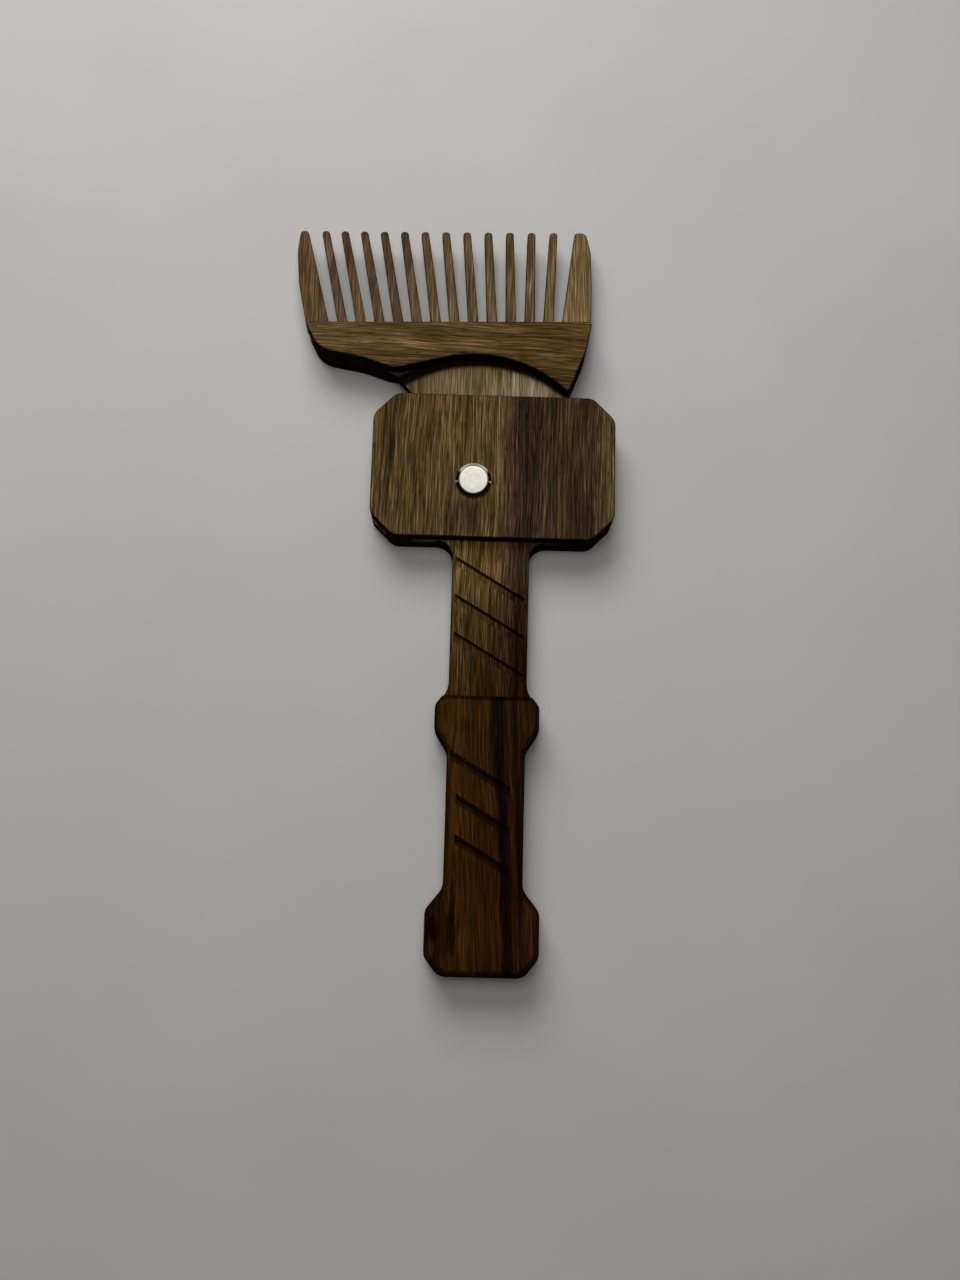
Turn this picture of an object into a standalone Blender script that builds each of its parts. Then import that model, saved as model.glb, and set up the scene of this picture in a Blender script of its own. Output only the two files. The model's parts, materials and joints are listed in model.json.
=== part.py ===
"""A folding wooden comb in the shape of a hammer, in metres, +Z up, lying on its back.

Three plies make the hammer with its handle, and three make the comb. The comb's middle ply
has the teeth and a neck, which turns on a metal pivot between the hammer's outer plies.
The origin is the middle of the hammer's back face, and +Y runs towards the teeth.
"""

import math

import bmesh
import bpy
from mathutils import Matrix, Vector

# The stack of plies
PLY = 0.0041
GLUE_LINE = 0.0001
SLIDE_CLEARANCE = 0.0002

# The hammer head
HAMMER_WIDTH = 0.0660
HAMMER_HEIGHT = 0.0402
HAMMER_CHAMFER = 0.0062
HAMMER_CORNER_RADIUS = 0.0040
FACE_ROUNDING = 0.0005
BACK_ROUNDING = 0.0003
ROUNDING_RUN_OUT = 0.0005

# The handle, with its collar and pommel; each distance runs down from the end of the one before
HANDLE_WIDTH = 0.0207
HANDLE_FILLET = 0.0048
HANDLE_LENGTH = 0.0408
COLLAR_WIDTH = 0.0275
COLLAR_HEIGHT = 0.0066
COLLAR_UPPER_SLOPE = 0.0044
COLLAR_LOWER_SLOPE = 0.0057
COLLAR_FACE_RADIUS = 0.0006
COLLAR_FILLET = 0.0060
GRIP_WIDTH = 0.0204
GRIP_LENGTH = 0.0351
GRIP_JOINT_DROP = 0.0022
GRIP_ROUNDING = 0.0022
POMMEL_WIDTH = 0.0294
POMMEL_SLOPE = 0.0056
POMMEL_SIDE = 0.0116
POMMEL_CHAMFER_WIDTH = 0.0039
POMMEL_CHAMFER_HEIGHT = 0.0050
POMMEL_FACE_RADIUS = 0.0014
POMMEL_FILLET = 0.0050

# The slanting grooves across handle and grip
GROOVE_WIDTH = 0.0022
GROOVE_DEPTH = 0.0005
GROOVE_PITCH = 0.0103
GROOVE_SLANT = math.radians(30.8)
GROOVES = 3
HANDLE_GROOVE_DROP = 0.0100
HANDLE_GROOVE_INSET = 0.0012
GRIP_GROOVE_DROP = 0.0198
FIRST_GRIP_GROOVE_INSET = 0.0010
GRIP_GROOVE_LEFT_INSET = 0.0029
GRIP_GROOVE_RIGHT_INSET = 0.0041
GROOVE_RUN_OUT = 0.0010

# The pivot's place on the hammer, and how the comb stands and turns there
PIVOT_LEFT = 0.0053
PIVOT_DROP = 0.0045
REST_ANGLE = math.radians(1.75)
QUARTER_TURN = math.radians(90)

# The comb's spine, whose sides are measured from the pivot, and the arc that clears the hammer
SPINE_LEFT = 0.0463
SPINE_RIGHT = 0.0331
SPINE_WAIST = 0.0096
SWING_CLEARANCE = 0.0031
ARC_END_RISE = 0.0007
LOBE_REACH = 0.0024
LOBE_ANGLE = math.radians(123.7)
LOBE_RADIUS = 0.0080
BEARD_TIP_SHARES = (0.918, 0.828)
BEARD_TIP_RADIUS = 0.0070
BEARD_WAIST_SHARES = (0.659, 0.774)
BEARD_WAIST_RADIUS = 0.0250
SPINE_BOW_SHARES = (0.948, 0.824)
SPINE_BOW_RADIUS = 0.0400
SPINE_CORNER_FACE_RADIUS = 0.0003

# The neck, which goes into the pocket of the hammer's core
POCKET_WALL = 0.0033
NECK_SLOPE = math.radians(50)
NECK_BEND_RADIUS = 0.0060
POCKET_CLEARANCE = 0.0003

# The teeth, measured along the spine's top edge and up from it
SLIM_TEETH = 12
LEFT_TOOTH_LENGTH = 0.0292
RIGHT_TOOTH_LENGTH = 0.0286
TOOTH_ROOT_WIDTH = 0.0029
TOOTH_TIP_WIDTH = 0.0022
TOOTH_TIP_FACE_RADIUS = 0.0005
TOOTH_LEAN_LEFT = 0.0054
TOOTH_LEAN_RIGHT = 0.0020
FAN_EXPONENT = 1.6
TOOTH_ROUNDING = 0.0004
SLOT_RUN_UNDER = 0.0010
SLOT_CORNER_RADIUS = 0.0010
LEFT_TOOTH_ROOT_WIDTH = 0.0065
LEFT_TOOTH_TIP_WIDTH = 0.0021
LEFT_TOOTH_TIP_LEAN = 0.0021
LEFT_TOOTH_BOW = 0.0024
LEFT_TOOTH_BELLY = 0.0030
LEFT_TOOTH_TIP_RADIUS = 0.0010
RIGHT_TOOTH_ROOT_WIDTH = 0.0083
RIGHT_TOOTH_TIP_WIDTH = 0.0031
RIGHT_TOOTH_TIP_LEAN = 0.0010
RIGHT_TOOTH_BOW = 0.0004
RIGHT_TOOTH_BELLY = 0.0004
RIGHT_TOOTH_TIP_RADIUS = 0.0016
BOW_HEIGHT_SHARE = 0.45
BELLY_HEIGHT_SHARE = 0.80
BELLY_RADIUS = 0.0180

# The pivot's two metal pieces
HEAD_DIAMETER = 0.0097
HEAD_BEVEL_WIDTH = 0.00105
HEAD_HEIGHT = 0.0008
HEAD_RIM = 0.0002
SLEEVE_WALL = 0.0007
SCREW_DIAMETER = 0.0030
SCREW_HEAD_DIAMETER = 0.0090
SCREW_HEAD_THICKNESS = 0.0012
SCREW_HEAD_CHAMFER = 0.0003
SCREW_HEAD_SINK = 0.0002
SCREW_END_DEPTH = 0.0038
SCREW_SLOT_WIDTH = 0.0010
SCREW_SLOT_DEPTH = 0.0005
SEAT_GAP = 0.0002
RUNNING_CLEARANCE = 0.0001
BORE_CLEARANCE = 0.0003

# How finely curves are drawn
FLATNESS = 0.00003
TURN_STEPS = 48
SAME_PLACE = 0.000001
CUT_OVERRUN = 0.0010
SHARP_ANGLE = math.radians(35)

# Heights above the back face
CORE_BOTTOM = PLY + GLUE_LINE
CORE_TOP = CORE_BOTTOM + PLY
FRONT_BOTTOM = CORE_TOP + GLUE_LINE
FRONT_TOP = FRONT_BOTTOM + PLY
TOOTH_PLY_BOTTOM = PLY + SLIDE_CLEARANCE
TOOTH_PLY_TOP = FRONT_BOTTOM - SLIDE_CLEARANCE

# Heights along the handle, from the hammer's middle
COLLAR_START = -HAMMER_HEIGHT / 2 - HANDLE_LENGTH
COLLAR_UPPER = COLLAR_START - COLLAR_UPPER_SLOPE
COLLAR_LOWER = COLLAR_UPPER - COLLAR_HEIGHT
GRIP_START = COLLAR_LOWER - COLLAR_LOWER_SLOPE
POMMEL_START = GRIP_START - GRIP_LENGTH
POMMEL_UPPER = POMMEL_START - POMMEL_SLOPE
POMMEL_LOWER = POMMEL_UPPER - POMMEL_SIDE
POMMEL_END = POMMEL_LOWER - POMMEL_CHAMFER_HEIGHT
GRIP_JOINT = COLLAR_START - GRIP_JOINT_DROP

# What the sizes above lead to
COLLAR_RADIUS = GRIP_ROUNDING + COLLAR_FACE_RADIUS
POMMEL_RADIUS = GRIP_ROUNDING + POMMEL_FACE_RADIUS
SPINE_CORNER_RADIUS = FACE_ROUNDING + SPINE_CORNER_FACE_RADIUS
TOOTH_TIP_RADIUS = TOOTH_ROUNDING + TOOTH_TIP_FACE_RADIUS
PIVOT = Vector((-PIVOT_LEFT, -PIVOT_DROP, 0))
HAMMER_RISE = HAMMER_HEIGHT / 2 + PIVOT_DROP
ARC_RADIUS = math.hypot(HAMMER_WIDTH / 2 - PIVOT_LEFT, HAMMER_RISE - HAMMER_CHAMFER) + SWING_CLEARANCE
ARC_END = math.asin((HAMMER_RISE + ARC_END_RISE) / ARC_RADIUS)
SPINE_TOP = ARC_RADIUS + SPINE_WAIST
NECK_WIDTH = HAMMER_HEIGHT - 2 * (PIVOT_DROP + POCKET_WALL + POCKET_CLEARANCE)
END_TEETH_WIDTH = LEFT_TOOTH_ROOT_WIDTH + RIGHT_TOOTH_ROOT_WIDTH
SLOTS_WIDTH = SPINE_LEFT + SPINE_RIGHT - END_TEETH_WIDTH - SLIM_TEETH * TOOTH_ROOT_WIDTH
SLOT_WIDTH = SLOTS_WIDTH / (SLIM_TEETH + 1)
SLEEVE_DIAMETER = SCREW_DIAMETER + 2 * (BORE_CLEARANCE + SLEEVE_WALL)
SCREW_SEAT = SCREW_HEAD_SINK + SCREW_HEAD_THICKNESS
SCREW_END = FRONT_TOP - SCREW_END_DEPTH

# Each surface's colour, roughness and metallic value
WALNUT = ((0.085, 0.052, 0.024), 0.5, 0)
PALE_WALNUT = ((0.120, 0.080, 0.042), 0.55, 0)
DARK_WALNUT = ((0.030, 0.014, 0.005), 0.4, 0)
STEEL = ((0.72, 0.70, 0.66), 0.25, 1)


def clear_scene():
    """Removes every object of the scene."""
    for thing in list(bpy.data.objects):
        bpy.data.objects.remove(thing, do_unlink=True)


def material(name, look):
    """A plain surface of this colour, roughness and metallic value."""
    colour, roughness, metallic = look
    made = bpy.data.materials.new(name)
    made.use_nodes = True
    surface = made.node_tree.nodes["Principled BSDF"]
    surface.inputs["Base Color"].default_value = (*colour, 1)
    surface.inputs["Roughness"].default_value = roughness
    surface.inputs["Metallic"].default_value = metallic
    return made


def polar(radius, angle):
    """The point at this distance and angle from the pivot."""
    return Vector((radius * math.cos(angle), radius * math.sin(angle)))


def arc_steps(radius, turn):
    """How many straight steps keep an arc within the flatness."""
    step = 2 * math.acos(1 - FLATNESS / max(radius, FLATNESS))
    return max(1, math.ceil(turn / step))


def rounded(corners):
    """The points of a closed outline, each of whose (place, radius) corners is rounded."""
    places = [Vector(place) for place, radius in corners]
    count = len(places)
    sides = [places[(index + 1) % count] - places[index] for index in range(count)]
    turns = [sides[index].angle_signed(sides[index - 1]) for index in range(count)]
    reaches = [radius * math.tan(abs(turn) / 2) for (place, radius), turn in zip(corners, turns)]
    fits = [
        min(1, sides[index].length / max(reaches[index] + reaches[(index + 1) % count], SAME_PLACE))
        for index in range(count)
    ]
    points = []
    for index, (place, turn) in enumerate(zip(places, turns)):
        reach = reaches[index] * min(fits[index], fits[index - 1])
        if reach < SAME_PLACE:
            points.append(place)
            continue
        radius = reach / math.tan(abs(turn) / 2)
        start = place - sides[index - 1].normalized() * reach
        across = sides[index - 1].normalized().orthogonal() * math.copysign(radius, turn)
        steps = arc_steps(radius, abs(turn))
        for step in range(steps + 1):
            turned_by = Matrix.Rotation(turn * step / steps, 2)
            points.append(start + across - turned_by @ across)
    return [point for index, point in enumerate(points) if (point - points[index - 1]).length > SAME_PLACE]


def crossed(outline, height):
    """The outline with one more point wherever it crosses this height."""
    points = []
    for before, point in zip([outline[-1]] + outline, outline):
        over, under = before.y - height, point.y - height
        if over * under < 0 and min(abs(over), abs(under)) > SAME_PLACE:
            points.append(before.lerp(point, over / (over - under)))
        points.append(point)
    return points


def even(radius):
    """The same rounding at every place."""
    return lambda place: radius


def inward_steps(outline):
    """For each point of an anticlockwise outline, the step that takes its two sides one unit inwards."""
    steps = []
    for index, point in enumerate(outline):
        before = (point - outline[index - 1]).normalized()
        after = (outline[(index + 1) % len(outline)] - point).normalized()
        steps.append((before.orthogonal() + after.orthogonal()) / (1 + before.dot(after)))
    return steps


def rim_rings(outline, face, way_in, radius_at):
    """The rings of points that round an outline over, from its flat face to its wall."""
    rings = []
    steps = arc_steps(max(radius_at(point) for point in outline), QUARTER_TURN)
    for step in range(steps + 1):
        angle = QUARTER_TURN * step / steps
        ring = []
        for point, inward in zip(outline, inward_steps(outline)):
            radius = radius_at(point)
            place = point + inward * radius * (1 - math.sin(angle))
            ring.append((place.x, place.y, face + way_in * radius * (1 - math.cos(angle))))
        rings.append(ring)
    return rings


def loft(rings, mesh=None):
    """Adds a closed body through these rings of points, with a flat face at each end."""
    mesh = mesh or bmesh.new()
    layers = [[mesh.verts.new(point) for point in ring] for ring in rings]
    mesh.faces.new(layers[0])
    mesh.faces.new(layers[-1])
    for layer, following in zip(layers, layers[1:]):
        for side in range(len(layer)):
            mesh.faces.new((layer[side - 1], layer[side], following[side], following[side - 1]))
    bmesh.ops.remove_doubles(mesh, verts=mesh.verts, dist=SAME_PLACE)
    bmesh.ops.recalc_face_normals(mesh, faces=mesh.faces)
    return mesh


def ply(outline, bottom, top, lower=even(0), upper=even(0)):
    """A flat ply of this outline; its two rims are rounded by the radius read at each place."""
    return loft(rim_rings(outline, bottom, 1, lower) + rim_rings(outline, top, -1, upper)[::-1])


def cut_straight(mesh, height):
    """Takes away what lies beyond this height along the handle, and closes the cut."""
    everything = mesh.verts[:] + mesh.edges[:] + mesh.faces[:]
    found = bmesh.ops.bisect_plane(
        mesh, geom=everything, dist=SAME_PLACE, plane_co=(0, height, 0), plane_no=(0, 1, 0), clear_outer=True
    )
    rim = [item for item in found["geom_cut"] if isinstance(item, bmesh.types.BMEdge)]
    bmesh.ops.edgeloop_fill(mesh, edges=rim)
    bmesh.ops.recalc_face_normals(mesh, faces=mesh.faces)


def turned(profile):
    """A body turned about the Z axis from (radius, height) points that begin and end on it."""
    mesh = bmesh.new()
    points = [mesh.verts.new((radius, 0, height)) for radius, height in profile]
    lines = [mesh.edges.new(pair) for pair in zip(points, points[1:])]
    bmesh.ops.spin(
        mesh, geom=points + lines, axis=(0, 0, 1), cent=(0, 0, 0), angle=math.tau, steps=TURN_STEPS
    )
    bmesh.ops.remove_doubles(mesh, verts=mesh.verts, dist=SAME_PLACE)
    bmesh.ops.recalc_face_normals(mesh, faces=mesh.faces)
    return mesh


def place_object(name, mesh, finish, parent=None, location=(0, 0, 0)):
    """Puts the mesh in the scene under this name."""
    data = bpy.data.meshes.new(name)
    mesh.to_mesh(data)
    mesh.free()
    data.shade_smooth()
    data.set_sharp_from_angle(angle=SHARP_ANGLE)
    made = bpy.data.objects.new(name, data)
    if finish:
        data.materials.append(finish)
    made.parent = parent
    made.location = location
    bpy.context.scene.collection.objects.link(made)
    return made


def place_cutter(name, mesh, parent=None, location=(0, 0, 0)):
    """Puts a cutter in the scene, which isn't a piece of the object."""
    cutter = place_object(name, mesh, None, parent, location)
    cutter.hide_render = True
    cutter.display_type = "WIRE"
    return cutter


def cut(piece, *cutters):
    """Cuts each cutter out of the piece."""
    for cutter in cutters:
        boolean = piece.modifiers.new(cutter.name, "BOOLEAN")
        boolean.operation = "DIFFERENCE"
        boolean.solver = "EXACT"
        boolean.object = cutter


def mirrored(right_side):
    """A closed outline from the corners of its right side, listed upwards."""
    left_side = [((-x, y), radius) for (x, y), radius in reversed(right_side)]
    return rounded(right_side + left_side)


def hammer_corners():
    """The right half of the hammer's outline, listed upwards."""
    half = HAMMER_WIDTH / 2
    high = HAMMER_HEIGHT / 2
    return [
        ((half - HAMMER_CHAMFER, -high), HAMMER_CORNER_RADIUS),
        ((half, HAMMER_CHAMFER - high), HAMMER_CORNER_RADIUS),
        ((half, high - HAMMER_CHAMFER), HAMMER_CORNER_RADIUS),
        ((half - HAMMER_CHAMFER, high), HAMMER_CORNER_RADIUS),
    ]


def handle_corners():
    """The right half of pommel, grip, collar and handle, listed upwards."""
    return [
        ((POMMEL_WIDTH / 2 - POMMEL_CHAMFER_WIDTH, POMMEL_END), POMMEL_RADIUS),
        ((POMMEL_WIDTH / 2, POMMEL_LOWER), POMMEL_RADIUS),
        ((POMMEL_WIDTH / 2, POMMEL_UPPER), POMMEL_RADIUS),
        ((GRIP_WIDTH / 2, POMMEL_START), POMMEL_FILLET),
        ((GRIP_WIDTH / 2, GRIP_START), COLLAR_FILLET),
        ((COLLAR_WIDTH / 2, COLLAR_LOWER), COLLAR_RADIUS),
        ((COLLAR_WIDTH / 2, COLLAR_UPPER), COLLAR_RADIUS),
        ((HANDLE_WIDTH / 2, COLLAR_START), COLLAR_FILLET),
        ((HANDLE_WIDTH / 2, -HAMMER_HEIGHT / 2), HANDLE_FILLET),
    ]


def back_rounding(place):
    """The back plate's rim: nearly sharp on hammer and handle, round from the collar down."""
    way = (COLLAR_START - place.y) / COLLAR_UPPER_SLOPE
    return BACK_ROUNDING + (GRIP_ROUNDING - BACK_ROUNDING) * min(max(way, 0), 1)


def core_rounding(place):
    """The core's rim, which is rounded only where it lies open between hammer plate and grip plate."""
    way = min(-HAMMER_HEIGHT / 2 - place.y, place.y - GRIP_JOINT) / ROUNDING_RUN_OUT
    return FACE_ROUNDING * min(max(way, 0), 1)


def lobe_corner():
    """The corner of the spine's lobe, where neck and arc part."""
    return polar(ARC_RADIUS + LOBE_REACH, LOBE_ANGLE)


def arc_end():
    """The spine's lower right corner, at the end of the arc."""
    return polar(ARC_RADIUS, ARC_END)


def beard_corners():
    """The spine's left end, drawn out like the beard of an axe, listed down to the lobe."""
    tip_x, tip_y = BEARD_TIP_SHARES
    waist_x, waist_y = BEARD_WAIST_SHARES
    return [
        ((-SPINE_LEFT * tip_x, SPINE_TOP * tip_y), BEARD_TIP_RADIUS),
        ((-SPINE_LEFT * waist_x, SPINE_TOP * waist_y), BEARD_WAIST_RADIUS),
        (lobe_corner(), LOBE_RADIUS),
    ]


def spine_bow():
    """The corner that bows the spine's right edge out."""
    across, up = SPINE_BOW_SHARES
    return ((SPINE_RIGHT * across, SPINE_TOP * up), SPINE_BOW_RADIUS)


def spine_outline():
    """The spine plates: beard, lobe, the arc about the pivot, and the bowed right edge."""
    arc_begin = LOBE_ANGLE - math.acos(ARC_RADIUS / lobe_corner().length)
    steps = arc_steps(ARC_RADIUS, arc_begin - ARC_END)
    turn = (ARC_END - arc_begin) / steps
    arc = [(polar(ARC_RADIUS, arc_begin + turn * step), 0) for step in range(steps)]
    upper_right = ((SPINE_RIGHT, SPINE_TOP), SPINE_CORNER_RADIUS)
    upper_left = ((-SPINE_LEFT, SPINE_TOP), SPINE_CORNER_RADIUS)
    return rounded(
        beard_corners() + arc + [(arc_end(), SPINE_CORNER_RADIUS), spine_bow(), upper_right, upper_left]
    )


def neck_flank(anchor, side, clearance):
    """The sloping flank of the neck: where it starts, the way it runs, and its bend into the shank."""
    run = Vector((-side * math.cos(NECK_SLOPE), -math.sin(NECK_SLOPE)))
    outward = Vector((side * math.sin(NECK_SLOPE), -math.cos(NECK_SLOPE)))
    start = anchor + outward * clearance
    half = NECK_WIDTH / 2 + clearance
    bend = start + run * ((side * half - start.x) / run.x)
    return start, run, bend


def pocket_outline():
    """The room in the core for the neck's quarter turn, about the pivot."""
    half = NECK_WIDTH / 2 + POCKET_CLEARANCE
    right_start, right_run, right_bend = neck_flank(arc_end(), 1, POCKET_CLEARANCE)
    left_start, left_run, left_bend = neck_flank(lobe_corner(), -1, POCKET_CLEARANCE)
    quarter = Matrix.Rotation(QUARTER_TURN, 2)
    right_far = right_start - right_run * HAMMER_WIDTH
    left_far = quarter @ (left_start - left_run * HAMMER_WIDTH)
    return rounded([
        (left_far, 0),
        (quarter @ left_bend, NECK_BEND_RADIUS),
        ((half, -half), half),
        (right_bend, NECK_BEND_RADIUS),
        (right_far, 0),
        ((left_far.x, right_far.y), 0),
    ])


def tooth_length(across):
    """How far a tooth stands out at this place across the spine."""
    way = (across + SPINE_LEFT) / (SPINE_LEFT + SPINE_RIGHT)
    return LEFT_TOOTH_LENGTH + (RIGHT_TOOTH_LENGTH - LEFT_TOOTH_LENGTH) * way


def tooth_corners(roots, tips, tip_radius):
    """A tooth from its right root over its tip to its left root; the slots beside it run under the spine."""
    length = tooth_length(sum(roots) / 2)
    left_foot, right_foot = [
        root - (tip - root) * SLOT_RUN_UNDER / length for root, tip in zip(roots, tips)
    ]
    return [
        ((right_foot, SPINE_TOP - SLOT_RUN_UNDER), SLOT_CORNER_RADIUS),
        ((tips[1], SPINE_TOP + length), tip_radius),
        ((tips[0], SPINE_TOP + length), tip_radius),
        ((left_foot, SPINE_TOP - SLOT_RUN_UNDER), SLOT_CORNER_RADIUS),
    ]


def slim_tooth(index):
    """One slim tooth, counted from the left: the lean grows over to the right as the row fans out."""
    way = index / (SLIM_TEETH - 1)
    first = SLOT_WIDTH + LEFT_TOOTH_ROOT_WIDTH - SPINE_LEFT
    root = first + (SLOT_WIDTH + TOOTH_ROOT_WIDTH) * index
    lean = (TOOTH_LEAN_LEFT + TOOTH_LEAN_RIGHT) * way**FAN_EXPONENT - TOOTH_LEAN_LEFT
    tip = root + lean + (TOOTH_ROOT_WIDTH - TOOTH_TIP_WIDTH) / 2
    return tooth_corners((root, root + TOOTH_ROOT_WIDTH), (tip, tip + TOOTH_TIP_WIDTH), TOOTH_TIP_RADIUS)


def outer_edge(side, bow, belly):
    """The two corners that swell the outer edge of an end tooth, listed upwards."""
    length = tooth_length(side)
    outward = math.copysign(1, side)
    return [
        ((side + outward * bow, SPINE_TOP + length * BOW_HEIGHT_SHARE), BELLY_RADIUS),
        ((side + outward * belly, SPINE_TOP + length * BELLY_HEIGHT_SHARE), BELLY_RADIUS),
    ]


def right_end_tooth():
    """The wide right tooth, whose outer edge goes on from the spine's."""
    tip = SPINE_RIGHT - RIGHT_TOOTH_TIP_LEAN
    roots = (SPINE_RIGHT - RIGHT_TOOTH_ROOT_WIDTH, SPINE_RIGHT)
    corners = tooth_corners(roots, (tip - RIGHT_TOOTH_TIP_WIDTH, tip), TOOTH_TIP_RADIUS)
    outer = [((SPINE_RIGHT, SPINE_TOP), BELLY_RADIUS)]
    outer += outer_edge(SPINE_RIGHT, RIGHT_TOOTH_BOW, RIGHT_TOOTH_BELLY)
    return outer + [(corners[1][0], RIGHT_TOOTH_TIP_RADIUS)] + corners[2:]


def left_end_tooth():
    """The wide left tooth, whose outer edge goes on into the beard."""
    tip = -SPINE_LEFT - LEFT_TOOTH_TIP_LEAN
    roots = (-SPINE_LEFT, LEFT_TOOTH_ROOT_WIDTH - SPINE_LEFT)
    corners = tooth_corners(roots, (tip, tip + LEFT_TOOTH_TIP_WIDTH), LEFT_TOOTH_TIP_RADIUS)
    outer = outer_edge(-SPINE_LEFT, LEFT_TOOTH_BOW, LEFT_TOOTH_BELLY)
    return corners[:3] + outer[::-1] + [((-SPINE_LEFT, SPINE_TOP), 0)]


def tooth_plate_outline():
    """The comb's middle ply: neck, spine strip and the row of teeth."""
    half = NECK_WIDTH / 2
    right_bend = neck_flank(arc_end(), 1, 0)[2]
    left_bend = neck_flank(lobe_corner(), -1, 0)[2]
    neck = [
        (left_bend, NECK_BEND_RADIUS),
        ((-half, -half), half),
        ((half, -half), half),
        (right_bend, NECK_BEND_RADIUS),
        (arc_end(), SPINE_CORNER_RADIUS),
    ]
    row = [corner for index in reversed(range(SLIM_TEETH)) for corner in slim_tooth(index)]
    return rounded(neck + [spine_bow()] + right_end_tooth() + row + left_end_tooth() + beard_corners())


def teeth_rounding(place):
    """The tooth plate's rims, which are rounded only beyond the spine plates."""
    way = (place.y - SPINE_TOP) / ROUNDING_RUN_OUT + 1
    return TOOTH_ROUNDING * min(max(way, 0), 1)


def grooves(drop, surface, width, left_insets, right_inset):
    """Cutters for parallel grooves that stop short of the edges; the first one's middle is this far down."""
    along = Vector((1, -math.tan(GROOVE_SLANT), 0))
    down = Vector((0, -GROOVE_WIDTH / math.cos(GROOVE_SLANT), 0))
    lift = Vector((0, 0, GROOVE_DEPTH + CUT_OVERRUN))
    mesh = None
    for index, inset in enumerate(left_insets):
        middle = Vector((0, -drop - GROOVE_PITCH * index, surface))
        left = inset - width / 2
        right = width / 2 - right_inset
        stations = [(left - GROOVE_RUN_OUT, CUT_OVERRUN), (left, -GROOVE_DEPTH)]
        stations += [(right, -GROOVE_DEPTH), (right + GROOVE_RUN_OUT, CUT_OVERRUN)]
        rings = []
        for reach, floor in stations:
            foot = middle + along * reach + Vector((0, 0, floor))
            rings.append([foot, foot + down, foot + down + lift, foot + lift])
        mesh = loft(rings, mesh)
    return mesh


def round_hole(diameter, bottom, top):
    """A cutter for a round hole about the pivot."""
    return turned([(0, top), (diameter / 2, top), (diameter / 2, bottom), (0, bottom)])


def make_hammer_cutters():
    """The sleeve's hole, the screw's recess and the neck's pocket, about the pivot."""
    hole_diameter = SLEEVE_DIAMETER + 2 * RUNNING_CLEARANCE
    recess_diameter = SCREW_HEAD_DIAMETER + 2 * BORE_CLEARANCE
    hole = round_hole(hole_diameter, -CUT_OVERRUN, FRONT_TOP + CUT_OVERRUN)
    recess = round_hole(recess_diameter, -CUT_OVERRUN, SCREW_SEAT + SEAT_GAP)
    pocket = ply(pocket_outline(), CORE_BOTTOM - CUT_OVERRUN, CORE_TOP + CUT_OVERRUN)
    return (
        place_cutter("sleeve_hole", hole, location=PIVOT),
        place_cutter("screw_recess", recess, location=PIVOT),
        place_cutter("neck_pocket", pocket, location=PIVOT),
    )


def make_groove_cutters():
    """The slanting grooves of the handle, which nearly reach its edges, and the shorter ones of the grip."""
    on_handle = grooves(
        HAMMER_HEIGHT / 2 + HANDLE_GROOVE_DROP, CORE_TOP, HANDLE_WIDTH,
        [HANDLE_GROOVE_INSET] * GROOVES, HANDLE_GROOVE_INSET,
    )
    on_grip = grooves(
        GRIP_GROOVE_DROP - GRIP_JOINT, FRONT_TOP, GRIP_WIDTH,
        [FIRST_GRIP_GROOVE_INSET] + [GRIP_GROOVE_LEFT_INSET] * (GROOVES - 1), GRIP_GROOVE_RIGHT_INSET,
    )
    return place_cutter("handle_grooves", on_handle), place_cutter("grip_grooves", on_grip)


def make_hammer_and_handle(walnut, dark_walnut, sleeve_hole, screw_recess, neck_pocket):
    """The three layers of hammer, handle and grip."""
    handle_grooves, grip_grooves = make_groove_cutters()
    head = mirrored(hammer_corners())
    whole = mirrored(handle_corners() + hammer_corners())
    open_core = crossed(crossed(whole, GRIP_JOINT), GRIP_JOINT + ROUNDING_RUN_OUT)

    back = place_object("back_plate", ply(whole, 0, PLY, lower=back_rounding), walnut)
    cut(back, sleeve_hole, screw_recess)

    middle = ply(open_core, CORE_BOTTOM, CORE_TOP, upper=core_rounding)
    cut(place_object("core", middle, walnut), neck_pocket, handle_grooves)

    face = ply(head, FRONT_BOTTOM, FRONT_TOP, upper=even(FACE_ROUNDING))
    cut(place_object("hammer_front_plate", face, walnut), sleeve_hole)

    grip = ply(whole, FRONT_BOTTOM, FRONT_TOP, upper=even(GRIP_ROUNDING))
    cut_straight(grip, GRIP_JOINT)
    cut(place_object("grip_front_plate", grip, dark_walnut), grip_grooves)


def make_comb(walnut, pale_walnut, sleeve_hole):
    """The comb's three plies, on an empty at the pivot that holds them at their angle."""
    turning = bpy.data.objects.new("comb_turning_axis", None)
    turning.location = PIVOT
    turning.rotation_euler = (0, 0, REST_ANGLE)
    bpy.context.scene.collection.objects.link(turning)

    row = crossed(crossed(tooth_plate_outline(), SPINE_TOP), SPINE_TOP - ROUNDING_RUN_OUT)
    teeth = ply(row, TOOTH_PLY_BOTTOM, TOOTH_PLY_TOP, lower=teeth_rounding, upper=teeth_rounding)
    cut(place_object("tooth_plate", teeth, pale_walnut, parent=turning), sleeve_hole)

    spine = spine_outline()
    front = ply(spine, TOOTH_PLY_TOP + GLUE_LINE, FRONT_TOP, upper=even(FACE_ROUNDING))
    place_object("spine_front_plate", front, walnut, parent=turning)
    back = ply(spine, 0, TOOTH_PLY_BOTTOM - GLUE_LINE, lower=even(BACK_ROUNDING))
    place_object("spine_back_plate", back, walnut, parent=turning)


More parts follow.
